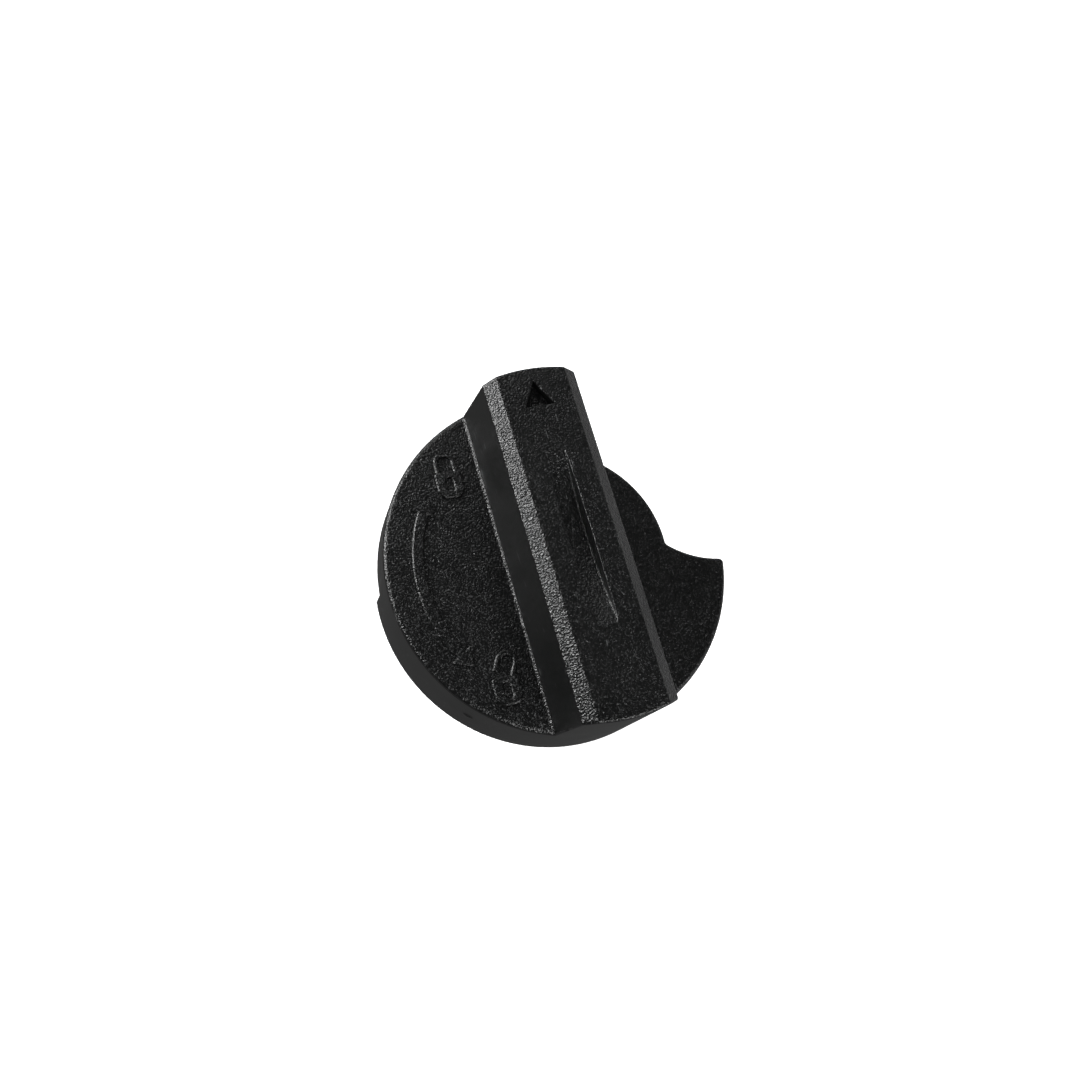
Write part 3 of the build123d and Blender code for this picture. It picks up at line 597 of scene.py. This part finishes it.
@dataclass(frozen=True)
class Thread:
    """A right-hand screw thread between two heights."""

    low: float
    high: float
    pitch: float
    depth: float
    run_out: float
    steepness: float = 1.25  # of the flanks
    crest: float = 0.1  # how much of the flank's height is left flat at the crest

    def cut(self, height: np.ndarray, angle: np.ndarray) -> np.ndarray:
        """How far the thread cuts in.

        The cut is a rounded triangle wave of height over pitch less the angle's share of a turn,
        times a ramp that rises from 0 to 1 over the run-out at both ends.

        Args:
            height: heights along the axis.
            angle: angles round the axis in radians.

        Returns:
            Metres to take from the radius.
        """
        phase = (height / self.pitch - angle / TURN) % 1.0
        tooth = 1.0 - np.abs(2.0 * phase - 1.0)
        wave = np.clip(self.steepness * tooth - self.crest, 0.0, 1.0)
        rise = np.clip((height - self.low) / self.run_out, 0.0, 1.0)
        fall = np.clip((self.high - height) / self.run_out, 0.0, 1.0)
        return self.depth * wave * np.minimum(rise, fall)


def densify(corners: list[tuple[float, float]], step: float) -> np.ndarray:
    """Points along a profile of straight runs, no further apart than a step."""
    parts = []
    for (r0, z0), (r1, z1) in zip(corners, corners[1:]):
        count = max(1, math.ceil(math.hypot(r1 - r0, z1 - z0) / step))
        share = np.linspace(0.0, 1.0, count, endpoint=False)
        parts.append(np.stack([r0 + (r1 - r0) * share, z0 + (z1 - z0) * share], axis=1))
    parts.append(np.array([corners[-1]]))
    return np.concatenate(parts)


def lathe_piece(name: str, corners: list[tuple[float, float]], thread: Thread, step: float,
                around: int, centre: tuple[float, float] = (0.0, 0.0)) -> bpy.types.Object:
    """Turns a profile about a vertical axis and cuts a thread in its widest outer run.

    A point at profile place u and angle v stands at radius r(u) less the thread's cut, and height z(u).
    A profile that starts and ends on the axis gets one point at each pole; any other is a ring whose
    last point joins its first.

    Args:
        name: the piece's name.
        corners: (radius, height) pairs in metres, with the material on their left going up the outside.
        thread: the thread on the outside.
        step: the finest distance between profile points, in metres.
        around: points round the axis.
        centre: the axis's X and Y.

    Returns:
        The closed piece.
    """
    solid = corners[0][0] == 0.0
    profile = densify(corners if solid else corners + [corners[0]], step)
    rows = profile[1:-1] if solid else profile[:-1]
    angle = np.linspace(0.0, TURN, around, endpoint=False)
    radius = np.repeat(rows[:, :1], around, axis=1)
    height = np.repeat(rows[:, 1:], around, axis=1)
    outer = rows[:, :1] >= max(r for r, z in corners if thread.low <= z <= thread.high) - TINY
    inside = (rows[:, 1:] >= thread.low) & (rows[:, 1:] <= thread.high)
    radius = radius - thread.cut(height, angle[None, :]) * (outer & inside)
    ring = np.stack([centre[0] + radius * np.cos(angle), centre[1] + radius * np.sin(angle), height], axis=-1)
    points = ring.reshape(-1, 3)
    quads = grid_quads(len(rows), around, wrap_rows=not solid)
    caps: tuple = ()
    if solid:
        poles = np.array([[*centre, profile[0, 1]], [*centre, profile[-1, 1]]])
        points = np.concatenate([points, poles])
        caps = pole_fans(len(rows), around)
    return mesh_piece(name, points, quads, caps)


def coil_piece(name: str, centre: tuple[float, float], low: float, high: float, radius: float,
               wire: float, turns: float, closed: float, along: int = 320,
               around: int = 14) -> bpy.types.Object:
    """A compression spring: a round wire carried along a helix whose end turns lie flat.

    The wire's centre at share s stands at angle s times the turns, and its height rises only
    between the closed end turns, so those lie coil on coil.

    Args:
        name: the piece's name.
        centre: the axis's X and Y.
        low: the lowest height of the wire's surface.
        high: the highest height of the wire's surface.
        radius: from the axis to the wire's centre.
        wire: the wire's radius.
        turns: turns in all.
        closed: turns that lie flat at each end.
        along: points along the wire.
        around: points round the wire.

    Returns:
        The closed piece.
    """
    share = np.linspace(0.0, 1.0, along)
    angle = share * turns * TURN
    turn = share * turns
    lift = np.interp(turn, [0.0, closed, turns - closed, turns],
                     [low + wire, low + 3 * wire, high - 3 * wire, high - wire])
    path = np.stack([centre[0] + radius * np.cos(angle), centre[1] + radius * np.sin(angle), lift], axis=1)
    ahead = np.gradient(path, axis=0)
    ahead /= np.linalg.norm(ahead, axis=1, keepdims=True)
    outward = np.stack([np.cos(angle), np.sin(angle), np.zeros_like(angle)], axis=1)
    side = np.cross(ahead, outward)
    side /= np.linalg.norm(side, axis=1, keepdims=True)
    outward = np.cross(side, ahead)
    phi = np.linspace(0.0, TURN, around, endpoint=False)
    ring = (path[:, None] + wire * (np.cos(phi)[None, :, None] * outward[:, None]
                                    + np.sin(phi)[None, :, None] * side[:, None]))
    quads = grid_quads(along, around, wrap_rows=False)
    first = tuple(reversed(range(around)))
    last = tuple((along - 1) * around + j for j in range(around))
    return mesh_piece(name, ring.reshape(-1, 3), quads, (first, last))


def dress(names: tuple[str, ...], frame: dict, material: bpy.types.Material) -> None:
    """Gives CAD nodes a material in place of the plain one they came with."""
    for name in names:
        for slot in frame["nodes"][name].material_slots:
            slot.material = material
        LOG.info("dressed %s with %s", name, material.name)


# ---- Sub-assemblies -----------------------------------------------------------------------------


@dataclass
class Knob:
    """The moulded grip-bar knob with its gate mark, and the spring clip inside its boss."""

    node: str = "knob"
    clip: str = "knob_clip"
    body: str = "knob_body"
    gate_angle: float = math.radians(-135.0)  # where round the rim the mould's gate was cut off
    gate_height: float = 3.9 * MM  # of its middle over the skirt's edge
    gate_half: tuple[float, float, float] = (0.16 * MM, 0.60 * MM, 0.48 * MM)  # out, round and up
    gate_sink: float = 0.06 * MM
    gate_lobes: int = 3
    gate_fray: float = 1.0 / 12
    rim_radius: float = 17.5 * MM
    rings: int = 24
    around: int = 48

    def gate_mark(self) -> bpy.types.Object:
        """The stub left where the gate was cut: a flattened egg half sunk in the rim.

        A point at latitude a and longitude b stands at half-sizes times (sin a, cos a cos b,
        cos a sin b), turned so that its first axis points out of the rim; a wave of a few lobes
        frays its edge.
        """
        low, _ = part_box(self.node)
        latitude = np.linspace(-TURN / 4, TURN / 4, self.rings)[1:-1, None]
        longitude = np.linspace(0.0, TURN, self.around, endpoint=False)[None, :]
        fray = 1.0 + self.gate_fray * np.sin(self.gate_lobes * longitude)
        out = self.gate_half[0] * np.sin(latitude) * np.ones_like(longitude)
        sideways = self.gate_half[1] * np.cos(latitude) * np.cos(longitude) * fray
        upward = self.gate_half[2] * np.cos(latitude) * np.sin(longitude) * fray
        zero = np.zeros((2, 1))
        out = np.concatenate([out.reshape(-1, 1), [[-self.gate_half[0]], [self.gate_half[0]]]])
        sideways = np.concatenate([sideways.reshape(-1, 1), zero])
        upward = np.concatenate([upward.reshape(-1, 1), zero])
        radial = self.rim_radius - self.gate_sink + out
        cosine, sine = math.cos(self.gate_angle), math.sin(self.gate_angle)
        points = np.concatenate([radial * cosine - sideways * sine, radial * sine + sideways * cosine,
                                 low.z + self.gate_height + upward], axis=1)
        rows = self.rings - 2
        quads = grid_quads(rows, self.around, wrap_rows=False)
        return mesh_piece("gate_mark", points, quads, pole_fans(rows, self.around))

    def build(self, frame: dict, rack: FinishRack) -> None:
        """Dresses the knob and its clip and adds the gate mark."""
        dress((self.node,), frame, rack.take(Finish.KNOB))
        dress((self.clip,), frame, rack.take(Finish.SPRING))
        mark = self.gate_mark()
        mark.data.materials.append(rack.take(Finish.KNOB))
        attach(mark, self.body)


@dataclass
class PanelBush:
    """The threaded bush with the gasket, washer and nut that clamp the panel."""

    body: str = "base"
    pitch: float = 1.0 * MM
    thread_depth: float = 0.5 * MM
    thread_start: float = 0.6 * MM  # over the plate
    run_out: float = 0.8 * MM
    step: float = 0.08 * MM  # between points of the profile
    bore: float = 3.06 * MM
    tail: float = 5.0 * MM
    plate_top: float = -1.0 * MM
    chamfer: float = 0.5 * MM
    points_around: int = 120

    def build(self, frame: dict, rack: FinishRack) -> None:
        """Cuts the bush's thread and dresses the pieces round it."""
        low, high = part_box("threaded_bush")
        outer = high.x
        corners = [(self.bore, low.z), (self.tail, low.z), (self.tail, self.plate_top),
                   (outer, self.plate_top), (outer, high.z - self.chamfer),
                   (outer - self.chamfer, high.z), (self.bore, high.z)]
        thread = Thread(self.plate_top + self.thread_start, high.z - self.chamfer, self.pitch,
                        self.thread_depth, self.run_out)
        bush = lathe_piece("bush_with_thread", corners, thread, self.step, self.points_around)
        bush.data.materials.append(rack.take(Finish.BUSH))
        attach(bush, self.body)
        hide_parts("threaded_bush")
        dress(("panel_nut",), frame, rack.take(Finish.NUT))
        dress(("lock_washer",), frame, rack.take(Finish.ZINC))
        dress(("panel_gasket",), frame, rack.take(Finish.SEAL))


@dataclass
class TurningWorks:
    """What turns with the knob: spindle, seal, circlip, click spring, rotor, springs and bridge."""

    body: str = "knob_body"
    coil_wire: float = 0.19 * MM
    coil_turns: float = 6.5
    coil_closed: float = 1.0
    bridge_travel: float = 0.6 * MM  # how far the lifted bridge presses the coils up

    def build(self, frame: dict, rack: FinishRack) -> None:
        """Winds the two contact springs and dresses the other pieces."""
        low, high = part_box("contact_springs")
        coil_radius = high.x - self.coil_wire
        places = {"rear": low.y + high.x, "front": high.y - high.x}
        for place, y in places.items():
            coil = coil_piece(f"contact_coil_{place}", (0.0, y), low.z, high.z, coil_radius,
                              self.coil_wire, self.coil_turns, self.coil_closed)
            coil.data.materials.append(rack.take(Finish.SPRING))
            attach(coil, self.body)
            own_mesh(coil)
            if place == "rear":
                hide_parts("contact_springs")
            LOG.info("wound %s", coil.name)
        dress(("spindle",), frame, rack.take(Finish.SPINDLE))
        dress(("spindle_seal",), frame, rack.take(Finish.SEAL))
        dress(("circlip", "click_spring"), frame, rack.take(Finish.SPRING))
        dress(("rotor",), frame, rack.take(Finish.ROTOR))
        dress(("contact_bridge",), frame, rack.take(Finish.COPPER))


@dataclass
class ContactHousing:
    """The fixed housing with its cover, gasket, screws and thrust washer."""

    cup: str = "housing"
    cover: str = "base_cover"
    gasket: str = "cover_gasket"
    screws: str = "cover_screws"
    washer: str = "thrust_washer"

    def build(self, frame: dict, rack: FinishRack) -> None:
        """Dresses the housing's pieces."""
        dress((self.cup,), frame, rack.take(Finish.HOUSING))
        dress((self.cover,), frame, rack.take(Finish.COVER))
        dress((self.gasket,), frame, rack.take(Finish.SEAL))
        dress((self.screws,), frame, rack.take(Finish.ZINC))
        dress((self.washer,), frame, rack.take(Finish.THRUST))


@dataclass
class Terminals:
    """The two terminal studs with their washers and nuts."""

    body: str = "base"
    names: tuple[str, ...] = ("battery_stud", "load_stud")
    shank: float = 2.0 * MM
    head_height: float = 1.2 * MM
    head_chamfer: float = 0.2 * MM
    tip_chamfer: float = 0.4 * MM
    pitch: float = 0.7 * MM
    thread_depth: float = 0.36 * MM
    run_out: float = 0.49 * MM
    step: float = 0.07 * MM  # between points of the profile
    plain_length: float = 4.4 * MM
    points_around: int = 72

    def build(self, frame: dict, rack: FinishRack) -> None:
        """Turns each stud with its thread and dresses the fasteners."""
        for name in self.names:
            low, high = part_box(name)
            head = (high.x - low.x) / 2
            centre = ((low.x + high.x) / 2, (low.y + high.y) / 2)
            under_head = high.z - self.head_height
            corners = [(0.0, low.z), (self.shank - self.tip_chamfer, low.z),
                       (self.shank, low.z + self.tip_chamfer), (self.shank, under_head),
                       (head, under_head), (head, high.z - self.head_chamfer),
                       (head - self.head_chamfer, high.z), (0.0, high.z)]
            thread = Thread(low.z + self.tip_chamfer / 2, under_head - self.plain_length, self.pitch,
                            self.thread_depth, self.run_out)
            stud = lathe_piece(f"{name}_threaded", corners, thread, self.step, self.points_around, centre)
            stud.data.materials.append(rack.take(Finish.STUD))
            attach(stud, self.body)
            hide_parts(name)
            LOG.info("turned %s", stud.name)
        dress(("stud_nuts", "stud_washers", "spring_washers"), frame, rack.take(Finish.ZINC))


# ---- Studio -------------------------------------------------------------------------------------


@dataclass
class Studio:
    """Pale floor, soft light and the camera."""

    lens: float = 36.667
    sensor: float = 36.0
    azimuth: float = -142.25
    elevation: float = 66.25
    distance: float = 108.7 * MM
    roll: float = 38.04
    aim: tuple[float, float] = (-1.54 * MM, 2.22 * MM)
    flange_height: float = 7.6 * MM
    floor_radius: float = 2.5
    floor_flat: float = 0.5  # of the radius, before the cove starts
    floor_middle: float = 0.02
    floor_sides: int = 96
    floor_cloud: float = 120 * MM
    floor_tint: tuple[float, float, float] = (0.93, 0.93, 0.93)
    floor_shade: tuple[float, float, float] = (0.90, 0.90, 0.90)
    cove_height: float = 2.0
    cove_rings: int = 24
    floor_glow: float = 0.85
    light_distance: float = 0.45
    light_size: float = 0.20
    key_direction: tuple[float, float, float] = (-0.72, 0.604, 0.342)
    key_power: float = 3.2
    back_direction: tuple[float, float, float] = (0.0, 0.866, 0.5)
    back_power: float = 0.55
    front_direction: tuple[float, float, float] = (0.30, -0.81, 0.50)
    front_power: float = 1.5
    zenith: float = 0.05  # radiance of the tent's roof
    right_wall: float = 0.5  # radiance that the tent's +X side adds near the horizon
    right_from: float = 0.45  # the direction's X where that side starts
    right_full: float = 0.95
    wall_top: float = 0.55  # the direction's Z where the side wall ends
    wall_full: float = 0.05
    horizon: tuple[float, float] = (-0.12, 0.08)
    under: float = 0.15  # radiance under the horizon
    under_right: float = 0.50  # radiance that the +X side adds there

    def camera(self) -> None:
        """Places the camera on a sphere about its aim point in the flange's plane, then rolls it."""
        target = Vector((*self.aim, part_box("knob")[0].z + self.flange_height))
        turn, rise = math.radians(self.azimuth), math.radians(self.elevation)
        away = Vector((math.cos(rise) * math.cos(turn), math.cos(rise) * math.sin(turn), math.sin(rise)))
        data = bpy.data.cameras.new("camera")
        data.lens = self.lens
        data.sensor_width = self.sensor
        data.clip_start = 1.0 * MM
        camera = bpy.data.objects.new("camera", data)
        bpy.context.scene.collection.objects.link(camera)
        facing = (-away).to_track_quat("-Z", "Y").to_matrix().to_4x4()
        tilt = Matrix.Rotation(math.radians(self.roll), 4, "Z")
        camera.matrix_world = Matrix.Translation(target + away * self.distance) @ facing @ tilt
        bpy.context.scene.camera = camera

    def floor(self) -> None:
        """Lays a glowing pale floor that curves up into a cove, under the lowest point of the switch.

        Past the flat disc, a point at bend a and any angle round the axis stands further out by the
        cove's width times sin a and higher by its height times (1 - cos a), for a from 0 to a quarter
        turn. The disc's middle is closed by one face.
        """
        low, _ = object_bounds()
        bend = np.linspace(0.0, TURN / 4, self.cove_rings)
        flat = self.floor_radius * self.floor_flat
        radius = np.concatenate([[self.floor_middle], flat + (self.floor_radius - flat) * np.sin(bend)])
        height = np.concatenate([[low[2]], low[2] + self.cove_height * (1.0 - np.cos(bend))])
        angle = np.linspace(0.0, TURN, self.floor_sides, endpoint=False)
        ring = np.stack([radius[:, None] * np.cos(angle), radius[:, None] * np.sin(angle),
                         np.repeat(height[:, None], len(angle), axis=1)], axis=-1)
        quads = grid_quads(len(radius), len(angle), wrap_rows=False)[:, ::-1]
        floor = mesh_piece("floor", ring.reshape(-1, 3), quads, (tuple(range(len(angle))),))
        bench = Bench.for_material("pale_floor")
        clouds = bench.noise(self.floor_cloud, 2.0) * 0.3
        tint = bench.blend(clouds, self.floor_tint, self.floor_shade)
        glow = {"Emission Color": (1.0, 1.0, 1.0, 1.0), "Emission Strength": self.floor_glow}
        floor.data.materials.append(bench.finish(tint, 0.9, specular=0.0, extra=glow))
        floor.visible_glossy = False
        floor.visible_diffuse = False
        floor.visible_shadow = False
        floor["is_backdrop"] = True

    def area(self, name: str, direction: tuple[float, float, float], power: float) -> None:
        """Hangs one square soft light.

        Args:
            name: the light's name.
            direction: where it hangs, as seen from the knob.
            power: watts.
        """
        data = bpy.data.lights.new(name, "AREA")
        data.size = self.light_size
        data.energy = power
        light = bpy.data.objects.new(name, data)
        bpy.context.scene.collection.objects.link(light)
        light.visible_camera = False
        spot = Vector(direction).normalized() * self.light_distance
        light.matrix_world = Matrix.Translation(spot) @ (-spot).to_track_quat("-Z", "Y").to_matrix().to_4x4()

    def tent(self) -> None:
        """Surrounds the switch with a soft tent: dim roof and bright +X side."""
        world = bpy.data.worlds.new("tent")
        bench = Bench(world)
        x, z = bench.axis(bench.place, "X"), bench.axis(bench.place, "Z")
        right = x.step(self.right_from, self.right_full)
        above = right * z.step(self.wall_top, self.wall_full) * self.right_wall + self.zenith
        below = right * self.under_right + self.under
        up = z.step(*self.horizon)
        strength = above * up + below * (1.0 - up)
        backdrop = bench.node("ShaderNodeBackground", {},
                              {"Color": (1.0, 1.0, 1.0, 1.0), "Strength": strength})
        bench.close("ShaderNodeOutputWorld", backdrop)
        bpy.context.scene.world = world

    def build(self) -> None:
        """Sets up the camera, the floor and the lights."""
        self.camera()
        self.floor()
        self.area("key", self.key_direction, self.key_power)
        self.area("back", self.back_direction, self.back_power)
        self.area("front", self.front_direction, self.front_power)
        self.tent()
        bpy.context.scene.view_settings.view_transform = "Standard"


def main() -> None:
    """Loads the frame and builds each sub-assembly."""
    logging.basicConfig(level=logging.INFO, format="%(name)s: %(message)s")
    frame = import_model()
    rack = FinishRack()
    Studio().build()
    for assembly in (Knob(), PanelBush(), TurningWorks(), ContactHousing(), Terminals()):
        assembly.build(frame, rack)
        LOG.info("built %s", type(assembly).__name__)


if __name__ == "__main__":
    main()
